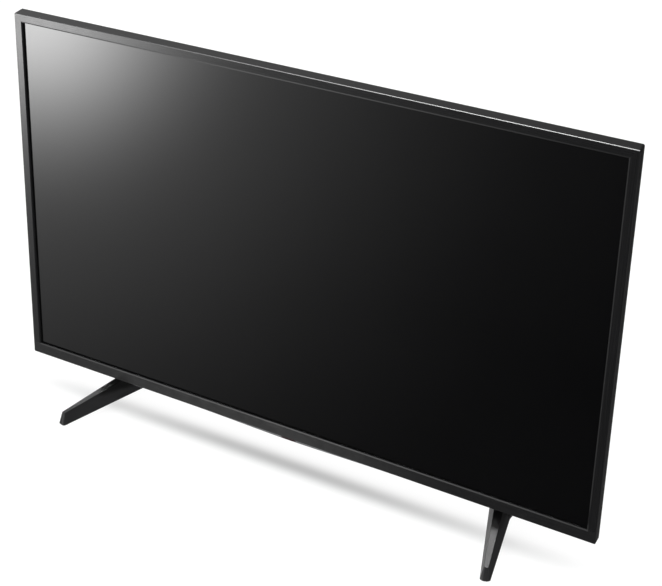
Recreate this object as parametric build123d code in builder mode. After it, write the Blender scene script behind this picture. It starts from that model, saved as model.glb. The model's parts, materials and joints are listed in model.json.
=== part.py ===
from build123d import *
import os
from math import sin, cos, tan, atan2, hypot, radians, degrees

os.makedirs("parts", exist_ok=True)

# ---------------------------------------------------------------- driving dimensions (mm)
# Frame: +X to the viewer's right, the screen faces -Y, +Z up, Z = 0 on the table.
FY = -27.0            # Y of the front face plane; the feet are symmetric about Y = 0
GAP = 58.5            # table to the underside of the front bezel
BZ_W = 973.0          # front outline width
BZ_H = 565.0          # front outline height
BZ_D = 15.0           # depth of the bezel's side walls
BZ_RISE = 3.5         # the top wall climbs this much from front to back
BZ_INS = 1.2          # the side walls close in this much from front to back
BZ_T = 2.4            # bezel front plate
OPEN_W = 945.0        # opening in the bezel
OPEN_Z0, OPEN_Z1 = 77.0, 610.8
RECESS = 3.3          # depth of the opening's inner wall
LIP_W, LIP_D = 1.9, 0.75   # sloping lip round the opening: width and depth
GLASS_Y = 3.9         # front of the glass behind the front plane
GLASS_T = 1.4
GLASS_W, GLASS_Z0, GLASS_Z1 = 953.0, 73.0, 614.8
COVER_T = 2.2         # rear cover wall
EDGE_Y = 34.0         # depth of the thin upper part
BULGE_Y = 78.0        # depth of the electronics housing
BULGE_X = 384.0
BULGE_Z = 430.0
VESA = 200.0          # wall bracket pattern
VESA_Z = 250.0
VESA_R = 2.5          # tapped hole for M6
FOOT_X = 331.5        # neck of each foot
TOE_X = 365.4         # toes, at their top edge
TOE_Y = 104.2
SPLAY = 17.5          # degrees from the Y axis, front blades
APEX_Y = 27.0         # where the front and the rear blade meet
JOY_Y = 25.0          # joystick axis, behind the front plane
JOY_Z = 66.0          # pivot height
SPK_X, SPK_Y = 215.0, 57.0

Z_BOT = GAP
Z_MID = GAP + BZ_H / 2
Z_TOP = GAP + BZ_H


def Y(y):
    """Y in the finished frame of a depth y behind the front plane."""
    return y + FY


def at(y):
    """Sketch plane facing the viewer at depth y: local x = X, local y = Z."""
    return Plane.XZ.offset(-Y(y))


def done(part, name):
    part.label = name
    export_step(part, f"parts/{name}.step")


# ================================================================ front
with BuildPart() as front_bezel:
    # outer skin: sharp front corners, rounder rear corners, rising top wall
    with BuildSketch(at(0)):
        with Locations((0, Z_BOT + BZ_H / 2)):
            RectangleRounded(BZ_W, BZ_H, 2.0)
    with BuildSketch(at(BZ_D)):
        with Locations((0, Z_BOT + (BZ_H + BZ_RISE) / 2)):
            RectangleRounded(BZ_W - 2 * BZ_INS, BZ_H + BZ_RISE, 2.6)
    loft()
    chamfer(front_bezel.edges().group_by(Axis.Y)[0], 0.5)
    # hollow behind the front plate
    with BuildSketch(at(BZ_T)):
        with Locations((0, (60.5 + 621.6) / 2)):
            RectangleRounded(968.6, 621.6 - 60.5, 1.2)
    with BuildSketch(at(BZ_D + 0.5)):
        with Locations((0, (60.5 + 625.0) / 2)):
            RectangleRounded(966.6, 625.0 - 60.5, 1.4)
    loft(mode=Mode.SUBTRACT)
    # return wall round the opening
    with BuildSketch(at(RECESS)):
        with Locations((0, (OPEN_Z0 + OPEN_Z1) / 2)):
            Rectangle(OPEN_W + 3.6, OPEN_Z1 - OPEN_Z0 + 3.6)
    extrude(amount=RECESS - BZ_T + 0.4)
    with BuildSketch(at(RECESS + 0.1)):
        with Locations((0, (OPEN_Z0 + OPEN_Z1) / 2)):
            Rectangle(OPEN_W, OPEN_Z1 - OPEN_Z0)
    extrude(amount=RECESS + 1.0, mode=Mode.SUBTRACT)
    # sloping lip round the opening
    with BuildSketch(at(-0.001)):
        with Locations((0, (OPEN_Z0 + OPEN_Z1) / 2)):
            Rectangle(OPEN_W + 2 * LIP_W, OPEN_Z1 - OPEN_Z0 + 2 * LIP_W)
    with BuildSketch(at(LIP_D)):
        with Locations((0, (OPEN_Z0 + OPEN_Z1) / 2)):
            Rectangle(OPEN_W - 0.01, OPEN_Z1 - OPEN_Z0 - 0.01)
    loft(mode=Mode.SUBTRACT)
    # slots for the chin lens tabs
    with BuildSketch(Plane.XY.offset(Z_BOT - 0.5)):
        with Locations((-120, Y(7)), (120, Y(7))):
            Rectangle(16.4, 3.4)
    extrude(amount=3.0, mode=Mode.SUBTRACT)
done(front_bezel.part, "front_bezel")

with BuildPart() as chin_lens:
    # slim bowed lip under the bezel, deepest at the middle
    with BuildSketch(at(12)):
        with BuildLine():
            Line((-185, Z_BOT - 0.1), (185, Z_BOT - 0.1))
            Line((185, Z_BOT - 0.1), (185, Z_BOT - 0.4))
            Spline((185, Z_BOT - 0.4), (95, Z_BOT - 1.7), (0, Z_BOT - 3.3), (-95, Z_BOT - 1.7), (-185, Z_BOT - 0.4))
            Line((-185, Z_BOT - 0.4), (-185, Z_BOT - 0.1))
        make_face()
    extrude(amount=11)
    with BuildSketch(Plane.XY.offset(Z_BOT - 0.6)):
        with Locations((-120, Y(7)), (120, Y(7))):
            Rectangle(16, 3)
    extrude(amount=3.2)
done(chin_lens.part, "chin_lens")

with BuildPart() as panel_gasket:
    with BuildSketch(at(GLASS_Y - 0.02)):
        with Locations((0, (OPEN_Z0 + OPEN_Z1) / 2)):
            Rectangle(OPEN_W + 3.4, OPEN_Z1 - OPEN_Z0 + 3.4)
            Rectangle(OPEN_W + 0.6, OPEN_Z1 - OPEN_Z0 + 0.6, mode=Mode.SUBTRACT)
    extrude(amount=GLASS_Y - RECESS - 0.04)
done(panel_gasket.part, "panel_gasket")

with BuildPart() as lcd_panel:
    with BuildSketch(at(GLASS_Y + GLASS_T)):
        with Locations((0, (GLASS_Z0 + GLASS_Z1) / 2)):
            Rectangle(GLASS_W, GLASS_Z1 - GLASS_Z0)
    extrude(amount=GLASS_T)
done(lcd_panel.part, "lcd_panel")

FLEX_X = [-278, -197, -116, 116, 197, 278]
with BuildPart() as panel_flex_films:
    # each tape leaves the glass's lower edge, folds under the frame and climbs to its driver board
    for fx in FLEX_X:
        with BuildSketch(Plane.YZ.offset(fx - 17)):
            with BuildLine():
                Polyline((Y(4.45), 72.95), (Y(4.45), 62.4), (Y(17), 62.4), (Y(31.7), 88.9), (Y(31.7), 92),
                         (Y(31.3), 92), (Y(31.3), 89.2), (Y(16.8), 62.8), (Y(4.85), 62.8), (Y(4.85), 72.95), close=True)
            make_face()
        extrude(amount=34)
done(panel_flex_films.part, "panel_flex_films")

for side, s in (("left", -1), ("right", 1)):
    with BuildPart() as source_board:
        with BuildSketch(at(33.4)):
            with Locations((s * 197, 102)):
                Rectangle(202, 22)
        extrude(amount=1.6)
        # driver connectors facing back
        with BuildSketch(at(35.6)):
            with Locations((s * 114, 102), (s * 197, 103), (s * 278, 102)):
                Rectangle(30, 5)
        extrude(amount=2.2)
    done(source_board.part, f"source_board_{side}")

with BuildPart() as middle_frame:
    with BuildSketch(at(12.0)):
        with Locations((0, (64.6 + 620.4) / 2)):
            RectangleRounded(964.8, 620.4 - 64.6, 1.5)
    extrude(amount=6.5)
    with BuildSketch(at(12.5)):
        with Locations((0, (66.0 + 619.0) / 2)):
            Rectangle(962.0, 619.0 - 66.0)
    extrude(amount=5.8, mode=Mode.SUBTRACT)
    with BuildSketch(at(12.5)):
        with Locations((0, (78.3 + 609.5) / 2)):
            Rectangle(943.0, 609.5 - 78.3)
    extrude(amount=8, mode=Mode.SUBTRACT)
done(middle_frame.part, "middle_frame")

SHEET_W, SHEET_Z0, SHEET_Z1 = 949.0, 72.6, 612.4
for name, y0, y1 in (("prism_sheet", 6.80, 7.00), ("diffuser_sheet", 7.05, 7.25), ("diffuser_plate", 7.30, 8.80)):
    with BuildPart() as sheet:
        with BuildSketch(at(y1)):
            with Locations((0, (SHEET_Z0 + SHEET_Z1) / 2)):
                Rectangle(SHEET_W, SHEET_Z1 - SHEET_Z0)
        extrude(amount=y1 - y0)
    done(sheet.part, name)

# ================================================================ backlight
LED_Z = [175.0, 342.0, 509.0]
LED_X = [-385 + 110 * i for i in range(8)]
LED_PTS = [(x, z) for z in LED_Z for x in LED_X]
PIN_PTS = [(-330, 258), (-110, 258), (110, 258), (330, 258), (-330, 426), (-110, 426), (110, 426), (330, 426)]

with BuildPart() as plate_supports:
    for px, pz in PIN_PTS:
        with BuildSketch(at(28.15)):
            with Locations((px, pz)):
                Circle(4.0)
        with BuildSketch(at(8.85)):
            with Locations((px, pz)):
                Circle(0.9)
        loft()
done(plate_supports.part, "plate_supports")

with BuildPart() as reflector_sheet:
    with BuildSketch(at(9.2)):
        with Locations((0, 342)):
            Rectangle(938.4, 530.6)
    with BuildSketch(at(28.6)):
        with Locations((0, 342)):
            Rectangle(897.0, 500.4)
    loft()
    with BuildSketch(at(9.1)):
        with Locations((0, 342)):
            Rectangle(937.8, 530.0)
    with BuildSketch(at(28.2)):
        with Locations((0, 342)):
            Rectangle(896.2, 499.6)
    loft(mode=Mode.SUBTRACT)
    with BuildSketch(at(29)):
        with Locations(*LED_PTS):
            Circle(8.6)
    extrude(amount=2, mode=Mode.SUBTRACT)
done(reflector_sheet.part, "reflector_sheet")

with BuildPart() as led_strips:
    with BuildSketch(at(29.65)):
        with Locations(*[(0, z) for z in LED_Z]):
            Rectangle(860, 13)
    extrude(amount=0.9)
done(led_strips.part, "led_strips")

with BuildPart() as led_packages:
    with BuildSketch(at(28.73)):
        with Locations(*LED_PTS):
            Rectangle(3.5, 3.5)
    extrude(amount=0.7)
done(led_packages.part, "led_packages")

with BuildPart() as led_lenses:
    # one wide-angle lens over each package
    for lx, lz in LED_PTS:
        with BuildSketch(Plane.XY.offset(lz)):
            with BuildLine():
                Polyline((lx, Y(25.6)), (lx + 2.2, Y(24.9)), (lx + 5.2, Y(24.6)), (lx + 7.6, Y(25.8)), (lx + 7.6, Y(28.7)),
                         (lx + 3.6, Y(28.7)), (lx + 3.2, Y(27.2)), (lx, Y(27.0)), close=True)
            make_face()
        revolve(axis=Axis((lx, 0, lz), (0, 1, 0)))
done(led_lenses.part, "led_lenses")

COVER_SCREWS_SIDE = [(s * 477.4, z) for s in (-1, 1) for z in (130.0, 342.0, 556.0)]
COVER_SCREWS_TOP = [(x, 615.3) for x in (-300.0, 0.0, 300.0)]
COVER_SCREWS_LOW = [(-420.0, 69.4), (420.0, 69.4)]
COVER_SCREWS = COVER_SCREWS_SIDE + COVER_SCREWS_TOP + COVER_SCREWS_LOW
VESA_PTS = [(sx * VESA / 2, VESA_Z + sz * VESA / 2) for sx in (-1, 1) for sz in (-1, 1)]
FOOT_SCREWS = [(s * FOOT_X, z) for s in (-1, 1) for z in (98.0, 114.0)]
BOARD_STANDOFFS = [(x, z) for x in (-344.0, -124.0) for z in (172.0, 352.0)] + \
                  [(x, z) for x in (124.0, 344.0) for z in (172.0, 368.0)] + [(-78.0, 126.0), (78.0, 158.0)]

with BuildPart() as rear_chassis:
    with BuildSketch(at(8.9)):
        with Locations((0, 342)):
            Rectangle(941.6, 533.6)
    with BuildSketch(at(30.5)):
        with Locations((0, 342)):
            Rectangle(899.6, 503.0)
    loft()
    with BuildSketch(at(8.89)):
        with Locations((0, 342)):
            Rectangle(940.0, 532.0)
    with BuildSketch(at(29.7)):
        with Locations((0, 342)):
            Rectangle(898.6, 502.0)
    loft(mode=Mode.SUBTRACT)
    with BuildSketch(at(9.7)):
        with Locations((0, (66.6 + 618.2) / 2)):
            Rectangle(960.0, 618.2 - 66.6)
        with Locations((0, 342)):
            Rectangle(940.4, 532.4, mode=Mode.SUBTRACT)
        with Locations(*COVER_SCREWS):
            Circle(1.55, mode=Mode.SUBTRACT)
    extrude(amount=0.8)
    # board standoffs pressed out of the pan
    with BuildSketch(at(30.4)):
        with Locations(*BOARD_STANDOFFS):
            Circle(4.0)
    extrude(amount=-7.0)
    with BuildSketch(at(37.5)):
        with Locations(*BOARD_STANDOFFS):
            Circle(1.25)
    extrude(amount=6.0, mode=Mode.SUBTRACT)
done(rear_chassis.part, "rear_chassis")

with BuildPart() as vesa_posts:
    with BuildSketch(at(30.52)):
        with Locations(*VESA_PTS):
            Circle(9.0)
    extrude(amount=-2.0)
    with BuildSketch(at(32.4)):
        with Locations(*VESA_PTS):
            Circle(5.5)
    extrude(amount=-44.6)
    with BuildSketch(at(77.0)):
        with Locations(*VESA_PTS):
            Circle(VESA_R)
    extrude(amount=22.0, mode=Mode.SUBTRACT)
    chamfer(vesa_posts.edges().group_by(Axis.Y)[-1].filter_by(GeomType.CIRCLE).filter_by(lambda e: e.radius > 5), 0.8)
done(vesa_posts.part, "vesa_posts")

# ================================================================ electronics (boards stand on the pan)
PCB0, PCB1 = 37.42, 39.0
with BuildPart() as power_board:
    with BuildSketch(at(PCB1)):
        with Locations((234, 270)):
            Rectangle(234, 214)
        with Locations((124, 172), (344, 172), (124, 368), (344, 368)):
            Circle(1.7, mode=Mode.SUBTRACT)
    extrude(amount=PCB1 - PCB0)
done(power_board.part, "power_board")

with BuildPart() as power_transformers:
    for tx, tz, tw, th, td in ((220, 300, 42, 38, 24), (296, 262, 34, 34, 20), (180, 210, 26, 24, 17)):
        with BuildSketch(at(PCB1 + 0.02)):
            with Locations((tx, tz)):
                Rectangle(tw, th)
        extrude(amount=-td)
        with BuildSketch(at(PCB1 + 4)):
            with Locations((tx, tz)):
                RectangleRounded(tw + 5, th * 0.62, 3)
        extrude(amount=-(td - 7))
done(power_transformers.part, "power_transformers")

with BuildPart() as power_capacitors:
    for cx, cz, cr, ch in ((322, 330, 12, 26), (322, 204, 9, 24), (150, 330, 6, 20), (150, 310, 6, 20), (150, 346, 5, 18),
                           (262, 352, 8, 22), (286, 352, 8, 22), (244, 200, 6, 16)):
        with BuildSketch(at(PCB1 + 0.02)):
            with Locations((cx, cz)):
                Circle(cr)
        extrude(amount=-ch)
done(power_capacitors.part, "power_capacitors")

with BuildPart() as power_heatsinks:
    for hx, hz in ((262, 228), (188, 262)):
        with BuildSketch(at(PCB1 + 0.02)):
            with Locations((hx, hz)):
                Rectangle(3, 44)
            with Locations(*[(hx + 5, hz + k * 8) for k in range(-2, 3)]):
                Rectangle(9, 2)
        extrude(amount=-25)
done(power_heatsinks.part, "power_heatsinks")

with BuildPart() as main_board:
    with BuildSketch(at(PCB1)):
        with Locations((-234, 262)):
            Rectangle(236, 198)
        with Locations((-344, 172), (-124, 172), (-344, 352), (-124, 352)):
            Circle(1.7, mode=Mode.SUBTRACT)
    extrude(amount=PCB1 - PCB0)
done(main_board.part, "main_board")

with BuildPart() as processor:
    with BuildSketch(at(PCB1 + 0.02)):
        with Locations((-200, 262)):
            Rectangle(27, 27)
    extrude(amount=-2.0)
done(processor.part, "processor")

with BuildPart() as processor_heatsink:
    with BuildSketch(at(PCB1 + 2.04)):
        with Locations((-200, 262)):
            Rectangle(52, 52)
    extrude(amount=-3.0)
    with BuildSketch(at(PCB1 + 5.0)):
        with Locations(*[(-200 + k * 6.2, 262) for k in range(-4, 5)]):
            Rectangle(1.4, 52)
    extrude(amount=-12)
done(processor_heatsink.part, "processor_heatsink")

REAR_PLATE_Y = 66.0
AV_Z = [259.0, 272.0, 285.0]
with BuildPart() as tuner:
    with BuildSketch(at(PCB1 + 0.02)):
        with Locations((-298, 206)):
            Rectangle(46, 22)
    extrude(amount=-20)
    with BuildSketch(at(PCB1 + 19)):
        with Locations((-298, 206)):
            Circle(4.7)
    extrude(amount=-16)
    with BuildSketch(at(PCB1 + 36)):
        with Locations((-298, 206)):
            Circle(1.6)
    extrude(amount=12, mode=Mode.SUBTRACT)
done(tuner.part, "tuner")

with BuildPart() as lan_socket:
    with BuildSketch(at(PCB1 + 0.02)):
        with Locations((-298, 240)):
            Rectangle(16, 14)
    extrude(amount=-(REAR_PLATE_Y - PCB1 + 0.6))
    with BuildSketch(at(REAR_PLATE_Y + 1)):
        with Locations((-298, 240)):
            Rectangle(11.8, 8)
        with Locations((-298, 245)):
            Rectangle(6, 3)
    extrude(amount=14, mode=Mode.SUBTRACT)
done(lan_socket.part, "lan_socket")

with BuildPart() as av_sockets:
    # three separate 3.5 mm jacks, 0.6 mm apart
    for jz in AV_Z:
        with BuildSketch(at(PCB1 + 0.02)):
            with Locations((-298, jz)):
                Rectangle(12, 12.4)
        extrude(amount=-20)
        with BuildSketch(at(PCB1 + 19)):
            with Locations((-298, jz)):
                Circle(4.2)
        extrude(amount=-(REAR_PLATE_Y - PCB1 - 19 + 0.6))
        with BuildSketch(at(REAR_PLATE_Y + 1)):
            with Locations((-298, jz)):
                Circle(1.8)
        extrude(amount=14, mode=Mode.SUBTRACT)
done(av_sockets.part, "av_sockets")

with BuildPart() as optical_socket:
    with BuildSketch(at(PCB1 + 0.02)):
        with Locations((-298, 310)):
            Rectangle(10, 10)
    extrude(amount=-(REAR_PLATE_Y - PCB1 + 0.6))
    with BuildSketch(at(REAR_PLATE_Y + 1)):
        with Locations((-298, 310)):
            Rectangle(5, 5)
    extrude(amount=8, mode=Mode.SUBTRACT)
done(optical_socket.part, "optical_socket")

SIDE_X = -368.0       # side jack plate
HDMI_Z = [236.0, 264.0]
USB_Z = 300.0
with BuildPart() as hdmi_sockets:
    for hz in HDMI_Z:
        with BuildSketch(Plane.YZ.offset(SIDE_X + 0.3)):
            with Locations((Y(PCB1 + 4.6), hz)):
                Rectangle(6.6, 15.0)
        extrude(amount=20)
        with BuildSketch(Plane.YZ.offset(SIDE_X)):
            with Locations((Y(PCB1 + 4.6), hz)):
                Rectangle(4.6, 13.6)
        extrude(amount=13, mode=Mode.SUBTRACT)
        with BuildSketch(Plane.YZ.offset(SIDE_X + 3)):
            with Locations((Y(PCB1 + 4.6), hz)):
                Rectangle(1.2, 11.0)
        extrude(amount=10.6)
done(hdmi_sockets.part, "hdmi_sockets")

with BuildPart() as usb_socket:
    with BuildSketch(Plane.YZ.offset(SIDE_X + 0.3)):
        with Locations((Y(PCB1 + 4.6), USB_Z)):
            Rectangle(7.2, 14.6)
    extrude(amount=20)
    with BuildSketch(Plane.YZ.offset(SIDE_X)):
        with Locations((Y(PCB1 + 4.6), USB_Z)):
            Rectangle(5.2, 12.8)
    extrude(amount=13, mode=Mode.SUBTRACT)
    with BuildSketch(Plane.YZ.offset(SIDE_X + 2)):
        with Locations((Y(PCB1 + 5.6), USB_Z)):
            Rectangle(2.0, 11.0)
    extrude(amount=11.6)
done(usb_socket.part, "usb_socket")

with BuildPart() as tcon_board:
    with BuildSketch(at(PCB1)):
        with Locations((0, 142)):
            Rectangle(172, 46)
        with Locations((-78, 126), (78, 158)):
            Circle(1.7, mode=Mode.SUBTRACT)
    extrude(amount=PCB1 - PCB0)
    with BuildSketch(at(PCB1 + 1.6)):
        with Locations((-10, 142)):
            Rectangle(20, 20)
        with Locations((-54, 124), (54, 124), (-54, 160)):
            Rectangle(30, 5)
    extrude(amount=1.7)
done(tcon_board.part, "tcon_board")

with BuildPart() as wifi_module:
    with BuildSketch(at(33.2)):
        with Locations((60, 104)):
            Rectangle(46, 20)
    extrude(amount=1.2)
    with BuildSketch(at(35.4)):
        with Locations((54, 104)):
            Rectangle(22, 15)
    extrude(amount=2.3)
done(wifi_module.part, "wifi_module")

with BuildPart() as ir_board:
    with BuildSketch(at(12.4)):
        with Locations((52, 63.0)):
            Rectangle(44, 3.0)
    extrude(amount=6.4)
    with BuildSketch(at(8.0)):
        with Locations((42, 63.0), (64, 63.0)):
            Rectangle(6, 2.6)
    extrude(amount=2.2)
done(ir_board.part, "ir_board")

with BuildPart() as power_harness:
    # flat lead from the power board to the main board
    with BuildSketch(Plane.XY.offset(296)):
        with BuildLine():
            Polyline((-121, Y(39.3)), (-119, Y(39.3)), (-108, Y(46.0)), (108, Y(46.0)), (121, Y(39.3)), (123, Y(39.3)),
                     (123, Y(40.3)), (121.3, Y(40.3)), (108.3, Y(47.0)), (-108.3, Y(47.0)), (-119.3, Y(40.3)), (-121, Y(40.3)), close=True)
        make_face()
    extrude(amount=14)
done(power_harness.part, "power_harness")

with BuildPart() as panel_ribbon:
    # ribbon from the main board down to the timing board
    with BuildSketch(at(41.4)):
        with BuildLine():
            Polyline((-154, 176), (-130, 176), (-130, 158), (-42, 158), (-42, 162), (-66, 162), (-66, 181), (-154, 181), close=True)
        make_face()
    extrude(amount=0.5)
done(panel_ribbon.part, "panel_ribbon")

with BuildPart() as source_ribbons:
    for s in (-1, 1):
        with BuildSketch(at(41.4)):
            with BuildLine():
                Polyline((s * 40, 126), (s * 68, 126), (s * 68, 112), (s * 126, 112), (s * 126, 100), (s * 100, 100),
                         (s * 100, 104), (s * 40, 104), close=True)
            make_face()
        extrude(amount=0.5)
done(source_ribbons.part, "source_ribbons")

with BuildPart() as speaker_leads:
    with BuildLine() as lead_path:
        FilletPolyline((-150, Y(41.5), 166), (-160, Y(41.5), 122), (-100, Y(47.0), 117.5), (190, Y(47.0), 117.5), radius=9)
    with BuildSketch(Plane(origin=lead_path.line @ 0, z_dir=lead_path.line % 0)):
        Circle(1.6)
    sweep()
done(speaker_leads.part, "speaker_leads")

INLET_Z = 128.0
with BuildPart() as power_inlet:
    # two-pin inlet in the side wall of the housing
    with BuildSketch(Plane.YZ.offset(350)):
        with Locations((Y(56), INLET_Z)):
            RectangleRounded(18, 26, 2)
    extrude(amount=25.2)
    with BuildSketch(Plane.YZ.offset(357)):
        with Locations((Y(56), INLET_Z)):
            SlotOverall(15.2, 8.8, rotation=90)
    extrude(amount=20, mode=Mode.SUBTRACT)
    with BuildSketch(Plane.YZ.offset(356.9)):
        with Locations((Y(56), INLET_Z - 4.3), (Y(56), INLET_Z + 4.3)):
            Circle(1.25)
    extrude(amount=12.0)
done(power_inlet.part, "power_inlet")

with BuildPart() as board_screws:
    for bx, bz in BOARD_STANDOFFS:
        with BuildSketch(at(PCB1 + 0.03)):
            with Locations((bx, bz)):
                Circle(3.0)
        extrude(amount=-1.8)
        with BuildSketch(at(PCB1 + 0.1)):
            with Locations((bx, bz)):
                Circle(1.2)
        extrude(amount=6.5)
        with BuildSketch(at(PCB1 + 2)):
            with Locations((bx, bz)):
                Rectangle(3.2, 0.7)
                Rectangle(0.7, 3.2)
        extrude(amount=1.1, mode=Mode.SUBTRACT)
done(board_screws.part, "board_screws")

# ================================================================ joystick under the middle
with BuildPart() as control_housing:
    with BuildSketch(Plane.XY.offset(61.2)):
        with Locations((0, Y(JOY_Y))):
            Rectangle(26, 11.8)
    extrude(amount=10.6)
    with BuildSketch(Plane.XY.offset(61.1)):
        with Locations((0, Y(JOY_Y))):
            Rectangle(15.2, 9.6)
    extrude(amount=10.8, mode=Mode.SUBTRACT)
    # bores for the gimbal's pins
    with BuildSketch(Plane.YZ.offset(-14)):
        with Locations((Y(JOY_Y), JOY_Z)):
            Circle(1.05)
    extrude(amount=28, mode=Mode.SUBTRACT)
done(control_housing.part, "control_housing")

with BuildPart() as control_board:
    with BuildSketch(Plane.XY.offset(71.85)):
        with Locations((0, Y(JOY_Y))):
            Rectangle(36, 12.6)
    extrude(amount=1.4)
done(control_board.part, "control_board")

with BuildPart() as control_gimbal:
    with BuildSketch(Plane.XY.offset(JOY_Z - 1.5)):
        with Locations((0, Y(JOY_Y))):
            Rectangle(13.6, 8.0)
            Circle(3.1, mode=Mode.SUBTRACT)
    extrude(amount=3.0)
    with BuildSketch(Plane.YZ.offset(-11.5)):
        with Locations((Y(JOY_Y), JOY_Z)):
            Circle(1.0)
    extrude(amount=5.2)
    with BuildSketch(Plane.YZ.offset(6.3)):
        with Locations((Y(JOY_Y), JOY_Z)):
            Circle(1.0)
    extrude(amount=5.2)
    with BuildSketch(at(JOY_Y + 5)):
        with Locations((0, JOY_Z)):
            Circle(0.75)
    extrude(amount=10, mode=Mode.SUBTRACT)
done(control_gimbal.part, "control_gimbal")

with BuildPart() as control_stalk:
    with BuildSketch(Plane.XY.offset(51.6)):
        with Locations((0, Y(JOY_Y))):
            Circle(2.0)
    extrude(amount=18.4)
    with BuildSketch(at(JOY_Y + 3.7)):
        with Locations((0, JOY_Z)):
            Circle(0.7)
    extrude(amount=7.4)
done(control_stalk.part, "control_stalk")

with BuildPart() as control_cap:
    with BuildSketch(Plane.XY.offset(49.0)):
        with Locations((0, Y(JOY_Y))):
            Circle(5.2)
    extrude(amount=7.4)
    fillet(control_cap.edges().group_by(Axis.Z)[0], 1.2)
    fillet(control_cap.edges().group_by(Axis.Z)[-1], 0.6)
    with BuildSketch(Plane.XY.offset(50.6)):
        with Locations((0, Y(JOY_Y))):
            Circle(2.06)
    extrude(amount=8, mode=Mode.SUBTRACT)
done(control_cap.part, "control_cap")

# ================================================================ sound
for side, s in (("left", -1), ("right", 1)):
    with BuildPart() as speaker_box:
        with BuildSketch(Plane.XY.offset(72)):
            with Locations((s * SPK_X, Y(SPK_Y))):
                RectangleRounded(150, 30, 3)
        extrude(amount=40)
        with BuildSketch(Plane.XY.offset(74)):
            with Locations((s * SPK_X, Y(SPK_Y))):
                Rectangle(146, 26)
        extrude(amount=36, mode=Mode.SUBTRACT)
        with BuildSketch(Plane.XY.offset(71)):
            with Locations((s * SPK_X, Y(SPK_Y))):
                SlotOverall(60, 24)
        extrude(amount=5, mode=Mode.SUBTRACT)
    done(speaker_box.part, f"speaker_box_{side}")

    with BuildPart() as speaker_cone:
        # oval dish and the voice-coil tube
        with BuildSketch(Plane.XY.offset(72.4)):
            with Locations((s * SPK_X, Y(SPK_Y))):
                SlotOverall(53.4, 17.4)
        extrude(amount=0.8)
        with BuildSketch(Plane.XY.offset(73.19)):
            with Locations((s * SPK_X, Y(SPK_Y))):
                SlotOverall(53.4, 17.4)
        with BuildSketch(Plane.XY.offset(84)):
            with Locations((s * SPK_X, Y(SPK_Y))):
                SlotOverall(12.61, 12.6)
        loft()
        with BuildSketch(Plane.XY.offset(72.3)):
            with Locations((s * SPK_X, Y(SPK_Y))):
                SlotOverall(49.8, 14.6)
        with BuildSketch(Plane.XY.offset(82.8)):
            with Locations((s * SPK_X, Y(SPK_Y))):
                SlotOverall(10.81, 10.8)
        loft(mode=Mode.SUBTRACT)
        with BuildSketch(Plane.XY.offset(82.6)):
            with Locations((s * SPK_X, Y(SPK_Y))):
                Circle(6.2)
                Circle(5.7, mode=Mode.SUBTRACT)
        extrude(amount=9.4)
    done(speaker_cone.part, f"speaker_cone_{side}")

with BuildPart() as speaker_surrounds:
    for s in (-1, 1):
        with BuildSketch(Plane.XY.offset(72.3)):
            with Locations((s * SPK_X, Y(SPK_Y))):
                SlotOverall(59.9, 23.9)
                SlotOverall(54.2, 18.2, mode=Mode.SUBTRACT)
        extrude(amount=1.2)
done(speaker_surrounds.part, "speaker_surrounds")

with BuildPart() as speaker_motors:
    # pot magnet hung from the box ceiling, with a centre pole inside the voice coil
    for s in (-1, 1):
        with BuildSketch(Plane.XY.offset(87)):
            with Locations((s * SPK_X, Y(SPK_Y))):
                Circle(12.0)
                Circle(6.9, mode=Mode.SUBTRACT)
                Circle(5.0)
        extrude(amount=8)
        with BuildSketch(Plane.XY.offset(95)):
            with Locations((s * SPK_X, Y(SPK_Y))):
                Circle(12.0)
        extrude(amount=14.95)
done(speaker_motors.part, "speaker_motors")

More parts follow.
